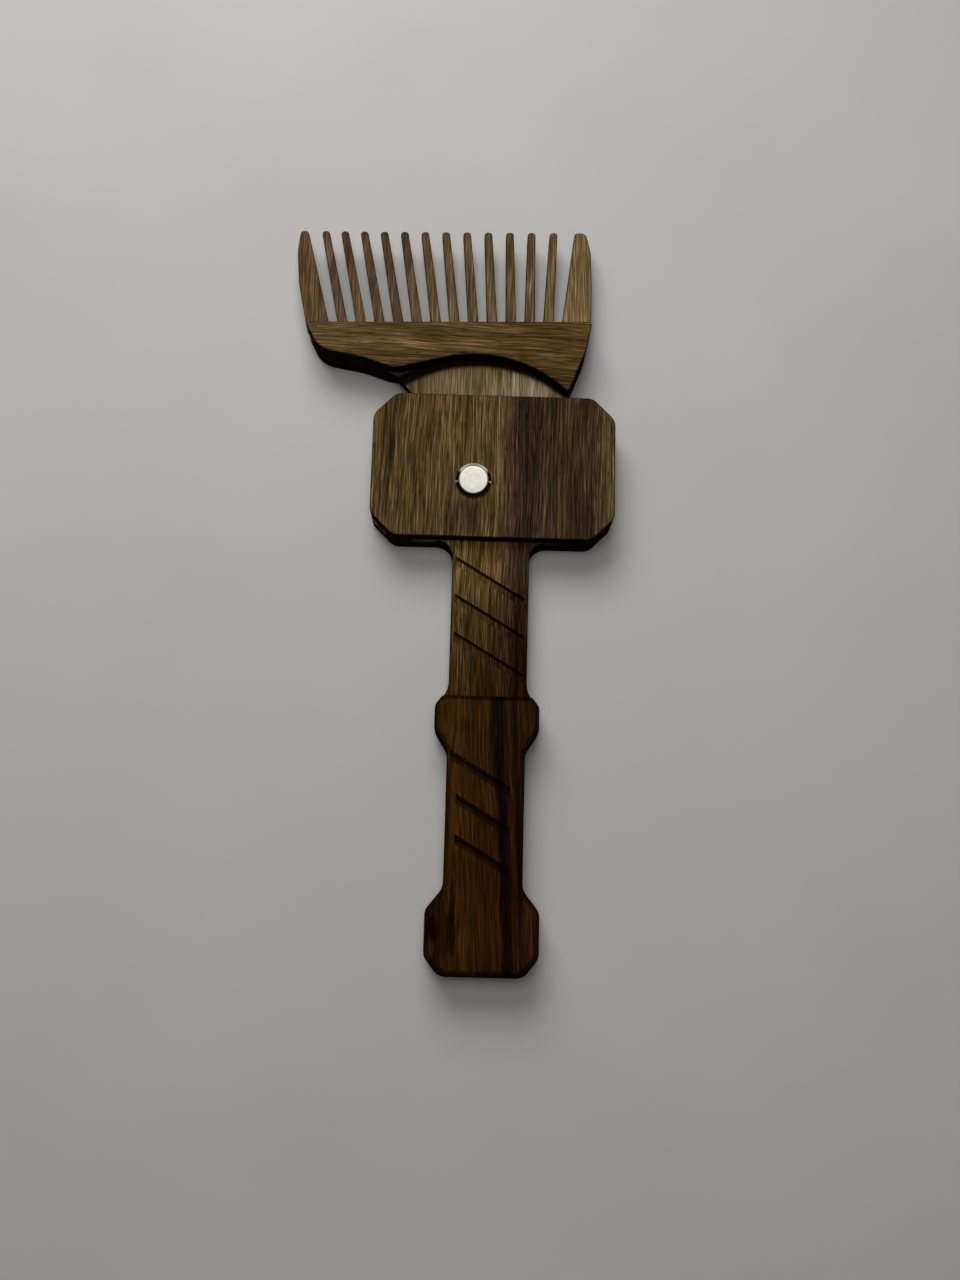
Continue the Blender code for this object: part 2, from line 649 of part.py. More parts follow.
def make_barrel(steel):
    """The barrel: a sleeve through all plies under a head with a broad bevel, bored for the screw."""
    seat = FRONT_TOP + SEAT_GAP
    sleeve_end = SCREW_SEAT + SEAT_GAP
    bore_radius = SCREW_DIAMETER / 2 + BORE_CLEARANCE
    bore_end = SCREW_END + BORE_CLEARANCE
    barrel = turned([
        (0, seat + HEAD_HEIGHT),
        (HEAD_DIAMETER / 2 - HEAD_BEVEL_WIDTH, seat + HEAD_HEIGHT),
        (HEAD_DIAMETER / 2, seat + HEAD_RIM),
        (HEAD_DIAMETER / 2, seat),
        (SLEEVE_DIAMETER / 2, seat),
        (SLEEVE_DIAMETER / 2, sleeve_end),
        (bore_radius, sleeve_end),
        (bore_radius, bore_end),
        (0, bore_end),
    ])
    place_object("pivot_barrel", barrel, steel, location=PIVOT)


def make_screw(steel):
    """The screw that closes the barrel from behind; its slotted head lies in the back plate's recess."""
    screw = turned([
        (0, SCREW_END),
        (SCREW_DIAMETER / 2, SCREW_END),
        (SCREW_DIAMETER / 2, SCREW_SEAT),
        (SCREW_HEAD_DIAMETER / 2, SCREW_SEAT),
        (SCREW_HEAD_DIAMETER / 2, SCREW_HEAD_SINK + SCREW_HEAD_CHAMFER),
        (SCREW_HEAD_DIAMETER / 2 - SCREW_HEAD_CHAMFER, SCREW_HEAD_SINK),
        (0, SCREW_HEAD_SINK),
    ])
    reach = SCREW_HEAD_DIAMETER / 2 + CUT_OVERRUN
    side = SCREW_SLOT_WIDTH / 2
    corners = [Vector(place) for place in ((-reach, -side), (reach, -side), (reach, side), (-reach, side))]
    slot = ply(corners, SCREW_HEAD_SINK - CUT_OVERRUN, SCREW_HEAD_SINK + SCREW_SLOT_DEPTH)
    head = place_object("pivot_screw", screw, steel, location=PIVOT)
    cut(head, place_cutter("screw_slot", slot, location=PIVOT))


def main():
    """Builds the comb."""
    clear_scene()
    walnut = material("walnut", WALNUT)
    pale_walnut = material("pale_walnut", PALE_WALNUT)
    dark_walnut = material("dark_walnut", DARK_WALNUT)
    steel = material("polished_steel", STEEL)
    sleeve_hole, screw_recess, neck_pocket = make_hammer_cutters()
    make_hammer_and_handle(walnut, dark_walnut, sleeve_hole, screw_recess, neck_pocket)
    make_comb(walnut, pale_walnut, sleeve_hole)
    make_barrel(steel)
    make_screw(steel)


main()
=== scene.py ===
"""The looks of a folding comb of walnut plies with a turned steel pivot, in the shape of a hammer.

Lengths are in metres. In the finishes, places and widths are in millimetres, because a finish is
laid out on the ply as a maker would mark it with a ruler.
"""

from __future__ import annotations

import json
import logging
import math
from dataclasses import dataclass
from enum import Enum

import bpy
from mathutils import Matrix, Vector

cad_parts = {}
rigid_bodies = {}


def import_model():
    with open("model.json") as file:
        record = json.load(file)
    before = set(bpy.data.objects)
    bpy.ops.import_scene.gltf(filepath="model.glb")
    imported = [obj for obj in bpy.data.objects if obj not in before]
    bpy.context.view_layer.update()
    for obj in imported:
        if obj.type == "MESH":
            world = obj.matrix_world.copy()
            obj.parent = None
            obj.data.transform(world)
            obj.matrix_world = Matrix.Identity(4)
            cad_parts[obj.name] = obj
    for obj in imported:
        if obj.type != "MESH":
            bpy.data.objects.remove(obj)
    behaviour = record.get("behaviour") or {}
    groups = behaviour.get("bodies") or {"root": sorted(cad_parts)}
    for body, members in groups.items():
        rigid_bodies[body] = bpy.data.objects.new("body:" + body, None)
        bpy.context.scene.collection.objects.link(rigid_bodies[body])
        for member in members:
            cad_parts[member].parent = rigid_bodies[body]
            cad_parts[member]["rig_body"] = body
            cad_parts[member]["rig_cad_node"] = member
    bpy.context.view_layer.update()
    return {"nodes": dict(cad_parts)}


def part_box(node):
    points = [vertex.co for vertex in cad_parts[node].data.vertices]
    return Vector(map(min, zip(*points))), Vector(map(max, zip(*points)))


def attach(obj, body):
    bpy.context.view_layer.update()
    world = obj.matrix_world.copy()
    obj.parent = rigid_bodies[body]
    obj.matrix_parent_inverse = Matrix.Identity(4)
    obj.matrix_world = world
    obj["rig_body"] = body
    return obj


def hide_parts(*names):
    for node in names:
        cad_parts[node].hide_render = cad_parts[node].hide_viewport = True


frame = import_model()

LOG = logging.getLogger("comb")
MM = 0.001

# The place of the pivot's axis across and along the handle.
PIVOT = tuple((low + high) / 2 for low, high in zip(*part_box("pivot_barrel")))[:2]

# The curve from screen values, 0 to 255, to linear light.
FULL = 255
LINEAR_END = 0.04045
LINEAR_SLOPE = 12.92
CURVE_SHIFT = 0.055
CURVE_POWER = 2.4

# The sockets that the Mix node uses when it mixes colours.
MIX_FACTOR = 0
MIX_FIRST = 6
MIX_SECOND = 7
MIX_RESULT = 2

# What a noise texture gives on average.
NOISE_MEAN = 0.5

Colour = tuple[float, float, float]
Value = "Socket | float | tuple"


def ink(code: str) -> Colour:
    """The linear colour of a six-figure colour code.

    Args:
        code: Red, green and blue as seen on a screen, two hexadecimal figures each.

    Returns:
        The three linear parts.
    """
    linear = []
    for place in (0, 2, 4):
        part = int(code[place:place + 2], 16) / FULL
        if part <= LINEAR_END:
            linear.append(part / LINEAR_SLOPE)
        else:
            linear.append(((part + CURVE_SHIFT) / (1 + CURVE_SHIFT)) ** CURVE_POWER)
    return tuple(linear)


class Grain(Enum):
    """Which way the fibres of a ply run."""

    ALONG = "along the handle"
    ACROSS = "across the comb"


class Tone(Enum):
    """The tones of the woods, as colour codes."""

    SAP = "514229"
    TAN = "48371F"
    GOLD = "513E24"
    STRAW = "624F30"
    HONEY = "66543A"
    EMBER = "6B4527"
    CHALK = "6A5B42"
    UMBER = "3C2C17"
    PLUM = "38281A"
    MULBERRY = "342618"
    WHEAT = "5B492C"
    DUSK = "271C12"
    BARK = "170E08"
    ASH = "5C4B33"
    ROSE = "4D3B26"
    RUSSET = "533D26"
    HAZEL = "443524"
    KHAKI = "55452A"
    OILED_TAN = "331F08"
    OILED = "2A1706"
    OILED_DARK = "160B04"
    OILED_BLACK = "0B0503"
    # Near black: the char of cut walls, also used for a painted shadow beside an arc.
    SCORCHED = "140C07"
    SINGED = "24130B"


class Socket:
    """One value in a node tree; arithmetic on it adds the nodes that work it out."""

    def __init__(self, graph: Graph, link: bpy.types.NodeSocket) -> None:
        """Keeps the output that carries the value."""
        self.graph = graph
        self.link = link

    def _math(self, operation: str, *values: Value) -> Socket:
        """Adds one Math node."""
        return self.graph.node("ShaderNodeMath", dict(enumerate(values)), operation=operation)

    def __add__(self, other: Value) -> Socket:
        """This plus the other."""
        return self._math("ADD", self, other)

    def __radd__(self, other: Value) -> Socket:
        """The other plus this."""
        return self._math("ADD", other, self)

    def __sub__(self, other: Value) -> Socket:
        """This less the other."""
        return self._math("SUBTRACT", self, other)

    def __rsub__(self, other: Value) -> Socket:
        """The other less this."""
        return self._math("SUBTRACT", other, self)

    def __mul__(self, other: Value) -> Socket:
        """This times the other."""
        return self._math("MULTIPLY", self, other)

    def __rmul__(self, other: Value) -> Socket:
        """The other times this."""
        return self._math("MULTIPLY", other, self)

    def __truediv__(self, other: Value) -> Socket:
        """This divided by the other."""
        return self._math("DIVIDE", self, other)

    def __pow__(self, other: Value) -> Socket:
        """This to the power of the other."""
        return self._math("POWER", self, other)

    def __rpow__(self, other: Value) -> Socket:
        """The other to the power of this."""
        return self._math("POWER", other, self)

    def __mod__(self, other: Value) -> Socket:
        """What is left over from whole steps of the other."""
        return self._math("FLOORED_MODULO", self, other)

    def __abs__(self) -> Socket:
        """Its size without its sign."""
        return self._math("ABSOLUTE", self)

    def step(self, start: float, end: float) -> Socket:
        """A soft step from 0 at one value to 1 at the other.

        Args:
            start: Where the step is 0; it may lie above the end.
            end: Where the step is 1.

        Returns:
            The step.
        """
        inputs = {"Value": self, "From Min": start, "From Max": end}
        return self.graph.node("ShaderNodeMapRange", inputs, interpolation_type="SMOOTHSTEP")


class Graph:
    """The nodes of a material or of the sky."""

    def __init__(self, owner: bpy.types.Material | bpy.types.World) -> None:
        """Starts with the nodes that a new material or sky has."""
        owner.use_nodes = True
        self.tree = owner.node_tree

    def node(
        self, kind: str, inputs: dict[int | str, Value], output: int | str = 0, **settings: object,
    ) -> Socket:
        """Adds a node.

        Args:
            kind: The node's type.
            inputs: A value or a link for each socket that is set, by its name or number.
            output: The output that is used, by its name or number.
            settings: The node's own settings; stops are the (place, colour) pairs of a ramp.

        Returns:
            The chosen output.
        """
        made = self.tree.nodes.new(kind)
        for name, value in settings.items():
            if name == "stops":
                self._set_stops(made.color_ramp, value)
            else:
                setattr(made, name, value)
        self._fill(made, inputs)
        return Socket(self, made.outputs[output])

    def give(self, name: str, inputs: dict[str, Value]) -> None:
        """Sets or links inputs of a node that is there from the start, by the node's name."""
        self._fill(self.tree.nodes[name], inputs)

    def _fill(self, node: bpy.types.Node, inputs: dict[int | str, Value]) -> None:
        """Sets or links a node's inputs.

        Args:
            node: The node.
            inputs: A value or a link for each socket that is set, by its name or number.
        """
        for key, value in inputs.items():
            if isinstance(value, Socket):
                self.tree.links.new(value.link, node.inputs[key])
            else:
                node.inputs[key].default_value = value

    @staticmethod
    def _set_stops(ramp: bpy.types.ColorRamp, stops: list[tuple[float, Colour]]) -> None:
        """Gives a ramp its stops.

        Args:
            ramp: The ramp.
            stops: The (place, colour) pairs, in rising order of place.
        """
        while len(ramp.elements) < len(stops):
            ramp.elements.new(1)
        for element, (place, colour) in zip(ramp.elements, stops):
            element.position = place
            element.color = (*colour, 1)

    def mix(self, factor: Value, first: Value, second: Value, blend: str = "MIX") -> Socket:
        """A colour between two colours.

        Args:
            factor: How much of the second colour there is.
            first: The first colour, as a link or as its three parts.
            second: The second colour.
            blend: How they are mixed.

        Returns:
            The mixed colour.
        """
        inputs = {
            MIX_FACTOR: factor, MIX_FIRST: self._four(first), MIX_SECOND: self._four(second),
        }
        return self.node(
            "ShaderNodeMix", inputs, MIX_RESULT, data_type="RGBA", blend_type=blend,
        )

    @staticmethod
    def _four(colour: Value) -> Value:
        """A colour's three parts with its alpha; a link is left as it is."""
        return colour if isinstance(colour, Socket) else (*colour, 1)

    def vector(self, x: Value, y: Value, z: Value) -> Socket:
        """A vector from three numbers."""
        return self.node("ShaderNodeCombineXYZ", {0: x, 1: y, 2: z})

    def parts(self, vector: Socket) -> tuple[Socket, Socket, Socket]:
        """The three numbers of a vector."""
        split = self.node("ShaderNodeSeparateXYZ", {0: vector}).link.node
        return tuple(Socket(self, output) for output in split.outputs)

    def place(self) -> tuple[Socket, Socket, Socket]:
        """The place on the object, in millimetres."""
        inputs = {0: self.node("ShaderNodeTexCoord", {}, "Object"), "Scale": 1 / MM}
        return self.parts(self.node("ShaderNodeVectorMath", inputs, operation="SCALE"))

    def facing(self) -> Socket:
        """How far the surface faces up or down, on the object's own axes."""
        return abs(self.parts(self.node("ShaderNodeTexCoord", {}, "Normal"))[2])

    def ramp(self, value: Socket, stops: list[tuple[float, Colour]]) -> Socket:
        """A colour that changes along a value.

        Args:
            value: The value.
            stops: The (value, colour) pairs, in rising order.

        Returns:
            The colour.
        """
        first = stops[0][0]
        span = stops[-1][0] - first
        shares = [((place - first) / span, colour) for place, colour in stops]
        return self.node("ShaderNodeValToRGB", {0: (value - first) / span}, stops=shares)

    @staticmethod
    def distance(across: Socket, along: Socket) -> Socket:
        """The straight distance, from what it measures across and along."""
        return (across * across + along * along) ** (1 / 2)

    def relief(self, height: Socket, depth: float) -> Socket:
        """The normal of a fine relief that is this deep, in metres."""
        return self.node("ShaderNodeBump", {"Height": height, "Distance": depth, "Strength": 1})


@dataclass(frozen=True)
class Layer:
    """A layer of smooth random values, with the sizes of its features along three ways."""

    sizes: tuple[float, float, float]
    detail: float = 2
    roughness: float = 0.5

    def values(self, graph: Graph, *ways: Value) -> Socket:
        """Works out the layer's values.

        Args:
            graph: The nodes of the material.
            ways: The place along each of the three ways.

        Returns:
            Values about zero.
        """
        vector = graph.vector(*(way / size for way, size in zip(ways, self.sizes)))
        inputs = {
            "Vector": vector, "Scale": 1, "Detail": self.detail, "Roughness": self.roughness,
        }
        return graph.node("ShaderNodeTexNoise", inputs) - NOISE_MEAN


@dataclass(frozen=True)
class Streak:
    """A stripe that runs with the grain, with its place and width across it."""

    place: float
    width: float
    tone: Tone
    strength: float
    drift: float = 0
    start: float = -200
    end: float = 200
    fade: float = 6
    core: float = 0.25

    def mask(self, line: Socket, run: Socket) -> Socket:
        """Where the streak shows.

        Args:
            line: The place across the grain.
            run: The place along the grain.

        Returns:
            A value from 0 to the streak's strength.
        """
        off = abs(line - run * self.drift - self.place)
        ends = run.step(self.start - self.fade, self.start + self.fade)
        ends = ends * run.step(self.end + self.fade, self.end - self.fade)
        return off.step(self.width, self.width * self.core) * ends * self.strength


@dataclass(frozen=True)
class Knot:
    """A soft oval patch with a ragged rim, by its centre and half its widths on the object."""

    centre: tuple[float, float]
    reach: tuple[float, float]
    tone: Tone
    strength: float
    rag: Layer = Layer((1.5, 4, 1))
    rag_depth: float = 1.6
    rim: tuple[float, float] = (1.2, 0.3)

    def mask(self, graph: Graph, x: Socket, y: Socket) -> Socket:
        """Where the patch shows.

        Args:
            graph: The material's nodes.
            x: The place across the handle.
            y: The place along the handle.

        Returns:
            A value from 0 to the patch's strength.
        """
        wide = (x - self.centre[0]) / self.reach[0]
        high = (y - self.centre[1]) / self.reach[1]
        ragged = self.rag.values(graph, x, y, 0) * self.rag_depth
        return (wide * wide + high * high + ragged).step(*self.rim) * self.strength


@dataclass(frozen=True)
class Grooves:
    """Slanting grooves that repeat down the handle, with darkened floors and a painted shadow along
    each upper edge.

    The floor is the height of their floors, and the top the place of one upper edge at x = 0.
    """

    floor: float
    top: float
    tone: Tone
    share: float
    upper_shadow: float
    reach: tuple[float, float] = (1.15, 0.55)
    pitch: float = 10.3
    slope: float = 0.596
    rise: tuple[float, float] = (0.32, 0.22)
    level: tuple[float, float] = (0.9, 0.98)

    def mask(self, x: Socket, y: Socket, z: Socket, facing: Socket) -> Socket:
        """Where the groove floors are dark, with a painted shadow below each upper edge.

        Args:
            x: The place across the handle.
            y: The place along the handle.
            z: The height.
            facing: How far the surface faces up.

        Returns:
            A value from 0 to 1.
        """
        floor = (z - self.floor).step(*self.rise) * facing.step(*self.level)
        below = (self.top - y - x * self.slope) % self.pitch
        # The step below each upper edge is a painted shadow of the groove's upper wall.
        return floor * (self.share + below.step(*self.reach) * self.upper_shadow)


@dataclass(frozen=True)
class ArcShadow:
    """A painted shadow on a ply beside the arc of a plate above it, shifted a little to one side.
    """

    centre: tuple[float, float]
    radius: float
    fade: float
    tone: Tone
    reach: float = 4

    def mask(self, graph: Graph, x: Socket, y: Socket) -> Socket:
        """Where the painted shadow shows.

        Args:
            graph: The material's nodes.
            x: The place across the handle.
            y: The place along the handle.

        Returns:
            A value from 0 to 1.
        """
        out = graph.distance(x - self.centre[0], y - self.centre[1])
        hidden = out.step(self.radius + self.reach, self.radius + self.reach / 2)
        return out.step(self.radius - self.fade, self.radius) * hidden


# The layers of the grain, each with its sizes across the fibres, through the ply and along them.
WANDER = Layer((22, 22, 38))
RIPPLE = Layer((6, 6, 16))
FIBRE = Layer((0.28, 0.28, 9), detail=1, roughness=0.6)
STRAND = Layer((0.65, 0.65, 40), detail=1)
FIGURE = Layer((4, 4, 60))
PORE = Layer((0.24, 0.24, 3.2), detail=0)
BLUSH = Layer((3, 3, 30), detail=1)


@dataclass(frozen=True)
class Walnut:
    """The finish of one ply: its grain, its bands of colour, the marks of cutting, and painted
    shadows.

    The bands lie across the grain. The lengths multiply them along it, and 0.5 leaves them as they
    are;
    on the tooth ply and the core they also hold painted light.
    """

    name: str
    grain: Grain
    bands: tuple[tuple[float, Tone], ...]
    lengths: tuple[tuple[float, Colour], ...]
    streaks: tuple[Streak, ...] = ()
    knots: tuple[Knot, ...] = ()
    seed: float = 0
    slant: float = 0
    wave: float = 1
    wander: float = 4.5
    ripple: float = 0.4
    fibre: float = 6.5
    strand: float = 1.8
    figure: float = 1
    pores: float = 1.2
    pore_range: tuple[float, float] = (0.08, 0.3)
    blush: float = 0.25
    paling: float = 0.12
    edge: Tone = Tone.SINGED
    edge_share: float = 0.6
    edge_range: tuple[float, float] = (0.985, 0.86)
    wall: Tone = Tone.SCORCHED
    wall_share: float = 0.96
    wall_range: tuple[float, float] = (0.7, 0.3)
    grooves: tuple[Grooves, ...] = ()
    # Painted shadows beside the arcs of plates above.
    arc_shadows: tuple[ArcShadow, ...] = ()
    roughness: float = 0.5
    fibre_roughness: float = 0.4
    pore_roughness: float = 0.1
    gloss: float = 0.005
    relief_depth: float = 0.00005
    pore_depth: float = 0.5

    def make(self) -> bpy.types.Material:
        """Makes the material.

        Returns:
            The finished material.
        """
        finish = bpy.data.materials.new(self.name)
        graph = Graph(finish)
        x, y, z = graph.place()
        facing = graph.facing()
        run, across = (y, x) if self.grain is Grain.ALONG else (x, y)
        far = run + self.seed
        wander = WANDER.values(graph, across, z, far) * self.wander
        ripple = RIPPLE.values(graph, across, z, far) * self.ripple
        line = across - run * self.slant + (wander + ripple) * self.wave

        fibre = FIBRE.values(graph, line, z, far)
        strand = STRAND.values(graph, line, z, far)
        figure = FIGURE.values(graph, line, z, far)
        pore = PORE.values(graph, line, z, far).step(*self.pore_range)
        blush = BLUSH.values(graph, line, z, far) * self.blush
        swing = fibre * self.fibre + strand * self.strand + figure * self.figure - pore * self.pores
        wall = facing.step(*self.wall_range)

        colour = self._bare(graph, (x, y), line, run)
        colour = self._fibred(graph, colour, swing, blush)
        colour = self._burnt_and_shaded(graph, colour, (x, y, z), facing)
        rough = self.roughness + fibre * self.fibre_roughness + pore * self.pore_roughness
        graph.give("Principled BSDF", {
            "Base Color": graph.mix(wall * self.wall_share, colour, ink(self.wall.value)),
            "Roughness": rough + wall * (1 - self.roughness),
            "Specular IOR Level": self.gloss,
            "Normal": graph.relief(fibre - pore * self.pore_depth, self.relief_depth),
        })
        return finish

    def _bare(
        self, graph: Graph, place: tuple[Socket, Socket], line: Socket, run: Socket,
    ) -> Socket:
        """The wood's colour without its fibres.

        Args:
            graph: The material's nodes.
            place: The place across and along the handle.
            line: The place across the grain.
            run: The place along the grain.

        Returns:
            The colour of the bands, streaks and knots.
        """
        colour = graph.ramp(line, [(start, ink(tone.value)) for start, tone in self.bands])
        for streak in self.streaks:
            colour = graph.mix(streak.mask(line, run), colour, ink(streak.tone.value))
        for knot in self.knots:
            colour = graph.mix(knot.mask(graph, *place), colour, ink(knot.tone.value))
        return graph.mix(1, colour, graph.ramp(run, self.lengths), "MULTIPLY")

    def _fibred(self, graph: Graph, colour: Socket, swing: Socket, blush: Socket) -> Socket:
        """The colour with its fibres.

        Args:
            graph: The material's nodes.
            colour: The bare colour.
            swing: How light the fibres are; each whole one doubles the light.
            blush: How red they are.

        Returns:
            The colour with its fibres.
        """
        light = 2 * 2 ** swing
        red = light * (1 + blush)
        blue = light * (1 + blush + swing * self.paling)
        return graph.mix(1, colour, graph.vector(red, light, blue), "MULTIPLY")

    def _burnt_and_shaded(
        self, graph: Graph, colour: Socket, place: tuple[Socket, Socket, Socket], facing: Socket,
    ) -> Socket:
        """The colour with the dark marks of cutting on grooves and edges, and with painted shadows
        in the grooves and beside arcs.

        Args:
            graph: The material's nodes.
            colour: The colour of the wood.
            place: The place across and along the handle, and the height.
            facing: How far the surface faces up.

        Returns:
            The colour with the marks and the painted shadows.
        """
        x, y, _ = place
        for groove in self.grooves:
            colour = graph.mix(groove.mask(*place, facing), colour, ink(groove.tone.value))
        # Each arc shadow is a painted shadow that a plate above would cast.
        for rim in self.arc_shadows:
            colour = graph.mix(rim.mask(graph, x, y), colour, ink(rim.tone.value))
        edge = facing.step(*self.edge_range)
        return graph.mix(edge * self.edge_share, colour, ink(self.edge.value))


@dataclass(frozen=True)
class TurnedSteel:
    """The finish of the pivot: a flat with fine turning marks, stains and a painted highlight at
    its rim, and polished bevels.
    """

    name: str = "turned_steel"
    colour: str = "EFECE2"
    centre: tuple[float, float] = tuple(part / MM for part in PIVOT)
    stains: Layer = Layer((0.8, 0.8, 1), detail=4, roughness=0.65)
    scuffs: Layer = Layer((0.25, 1.6, 1), detail=3, roughness=0.6)
    rings: Layer = Layer((0.1, 1, 1), detail=2, roughness=0.7)
    level: tuple[float, float] = (0.97, 0.995)
    rim: tuple[float, float] = (3.1, 3.7)
    brightness: float = 0.98
    stain_share: float = 1.3
    scuff_share: float = 0.5
    painted_highlight_share: float = 0.1
    flat_roughness: float = 0.2
    bevel_roughness: float = 0.06
    stain_roughness: float = 0.3
    ring_depth: float = 0.6
    scuff_depth: float = 0.4
    relief_depth: float = 0.000006

    def make(self) -> bpy.types.Material:
        """Makes the material.

        Returns:
            The finished material.
        """
        finish = bpy.data.materials.new(self.name)
        graph = Graph(finish)
        x, y, z = graph.place()
        flat = graph.facing().step(*self.level)
        radius = graph.distance(x - self.centre[0], y - self.centre[1])
        stains = self.stains.values(graph, x, y, z)
        scuffs = self.scuffs.values(graph, x, y, z)
        rings = self.rings.values(graph, radius, 0, z)
        # A painted highlight brightens the ring by the flat's rim; the marks stop there.
        rim = radius.step(*self.rim)
        marks = (stains * self.stain_share + scuffs * self.scuff_share) * flat * (1 - rim)
        tone = self.brightness + marks + rim * self.painted_highlight_share
        colour = graph.mix(1, ink(self.colour), graph.vector(tone, tone, tone), "MULTIPLY")
        rough = self.bevel_roughness + flat * (self.flat_roughness - self.bevel_roughness)
        relief = rings * self.ring_depth + scuffs * self.scuff_depth
        graph.give("Principled BSDF", {
            "Base Color": colour,
            "Metallic": 1,
            "Roughness": rough + flat * stains * self.stain_roughness,
            "Normal": graph.relief(relief * flat, self.relief_depth),
        })
        return finish


@dataclass(frozen=True)
class Matt:
    """The plain matt surface of the floor, which fades into the backdrop far from the comb."""

    name: str
    colour: str
    backdrop: Colour
    fade: tuple[float, float] = (300, 800)
    cloud: Layer = Layer((60, 60, 1), detail=3)
    paling: float = 0.05
    cloud_share: float = 0.1
    roughness: float = 0.8
    cloud_roughness: float = 0.1

    def make(self) -> bpy.types.Material:
        """Makes the material.

        Returns:
            The finished material.
        """
        finish = bpy.data.materials.new(self.name)
        graph = Graph(finish)
        x, y, z = graph.place()
        cloud = self.cloud.values(graph, x, y, z)
        far = graph.distance(x, y).step(*self.fade)
        seen = graph.node("ShaderNodeLightPath", {}, "Is Camera Ray")
        pale = cloud * self.cloud_share + self.paling
        colour = graph.mix(pale, ink(self.colour), (1, 1, 1))
        graph.give("Principled BSDF", {
            "Base Color": graph.mix(far, colour, (0, 0, 0)),
            "Roughness": self.roughness + cloud * self.cloud_roughness,
            "Specular IOR Level": 0,
            "Emission Color": graph.mix(far * seen, (0, 0, 0), self.backdrop),
            "Emission Strength": 1,
        })
        return finish


class Bench:
    """The modelling steps that the pieces go through."""

    WELD = 0.000002
    FLAT_ANGLE = math.radians(0.5)
    FLAT_WEIGHT = 100
    CORNERS = 96

    @staticmethod
    def choose(piece: bpy.types.Object) -> None:
        """Selects this piece alone and makes it the active one.

        Args:
            piece: The piece.
        """
        bpy.ops.object.select_all(action="DESELECT")
        piece.select_set(True)
        bpy.context.view_layer.objects.active = piece

    @classmethod
    def copy_of(cls, node: str, name: str) -> bpy.types.Object:
        """A copy of a node, with its loose triangles joined into whole faces.

        Args:
            node: The node.
            name: The copy's name.

        Returns:
            The copy, free of its body.
        """
        cls.choose(frame["nodes"][node])
        bpy.ops.object.duplicate()
        piece = bpy.context.active_object
        piece.name = name
        piece.data.name = name
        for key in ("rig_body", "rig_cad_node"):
            del piece[key]
        piece.parent = None
        piece.data.materials.clear()
        bpy.ops.mesh.customdata_custom_splitnormals_clear()
        bpy.ops.object.mode_set(mode="EDIT")
        bpy.ops.mesh.select_all(action="SELECT")
        bpy.ops.mesh.remove_doubles(threshold=cls.WELD)
        bpy.ops.mesh.dissolve_limited(angle_limit=cls.FLAT_ANGLE)
        bpy.ops.object.mode_set(mode="OBJECT")
        return piece

    @classmethod
    def turn(
        cls, name: str, centre: tuple[float, float], rings: tuple[tuple[float, float], ...],
    ) -> bpy.types.Object:
        """A solid of revolution, drawn up ring by ring as on a lathe.

        Args:
            name: The piece's name.
            centre: The place of its axis.
            rings: The (radius, height) of each ring, from one end to the other.

        Returns:
            The piece, with both its ends closed.
        """
        radius, height = rings[0]
        bpy.ops.object.select_all(action="DESELECT")
        bpy.ops.mesh.primitive_circle_add(
            vertices=cls.CORNERS, radius=radius, fill_type="NGON", location=(*centre, height),
        )
        piece = bpy.context.active_object
        piece.name = name
        piece.data.name = name
        bpy.ops.object.transform_apply(location=True)
        bpy.ops.object.mode_set(mode="EDIT")
        bpy.ops.mesh.select_all(action="SELECT")
        for wide, high in rings[1:]:
            lift = {"value": (0, 0, high - height)}
            bpy.ops.mesh.extrude_region_move(TRANSFORM_OT_translate=lift)
            widening = (wide / radius, wide / radius, 1)
            bpy.ops.transform.resize(value=widening, center_override=(*centre, high))
            radius, height = wide, high
        bpy.ops.mesh.select_all(action="SELECT")
        bpy.ops.mesh.normals_make_consistent(inside=False)
        bpy.ops.object.mode_set(mode="OBJECT")
        return piece

    @classmethod
    def saw(
        cls,
        piece: bpy.types.Object,
        middle: tuple[float, float, float],
        size: tuple[float, float, float],
    ) -> None:
        """Saws a straight slot into a piece.

        Args:
            piece: The piece.
            middle: The middle of the slot.
            size: The slot's sizes along the three axes.
        """
        bpy.ops.object.select_all(action="DESELECT")
        bpy.ops.mesh.primitive_cube_add(size=1, location=middle, scale=size)
        blade = bpy.context.active_object
        cls.choose(piece)
        cut = piece.modifiers.new("slot", "BOOLEAN")
        cut.operation = "DIFFERENCE"
        cut.solver = "EXACT"
        cut.object = blade
        bpy.ops.object.modifier_apply(modifier=cut.name)
        bpy.data.objects.remove(blade)

    @classmethod
    def smooth(cls, piece: bpy.types.Object, angle: float = 38) -> None:
        """Shades a piece smoothly, with its flat faces kept flat.

        Args:
            piece: The piece.
            angle: The angle in degrees up to which an edge is smooth.
        """
        cls.choose(piece)
        bpy.ops.object.shade_smooth_by_angle(angle=math.radians(angle))
        weighted = piece.modifiers.new("flat faces stay flat", "WEIGHTED_NORMAL")
        weighted.keep_sharp = True
        weighted.weight = cls.FLAT_WEIGHT
        bpy.ops.object.modifier_apply(modifier=weighted.name)

    @staticmethod
    def dress(
        piece: bpy.types.Object, finish: bpy.types.Material, body: str, slot: str, node: str,
    ) -> None:
        """Gives a finished piece its material and its body, and hides the node that it stands for.

        Args:
            piece: The piece.
            finish: Its material.
            body: The body that it moves with.
            slot: The slot of the record that its finish comes from; not used.
            node: The node that it stands for.
        """
        piece.data.materials.append(finish)
        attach(piece, body)
        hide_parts(node)
        LOG.info("%s: %d faces", piece.name, len(piece.data.polygons))

    @classmethod
    def lay(
        cls, body: str, plies: tuple[tuple[str, str, bpy.types.Material, str], ...],
    ) -> None:
        """Makes and dresses the plies of a body from their nodes.

        Args:
            body: The body that they move with.
            plies: The node, name, material and slot of each ply.
        """
        for node, name, finish, slot in plies:
            ply = cls.copy_of(node, name)
            cls.smooth(ply)
            cls.dress(ply, finish, body, slot, node)


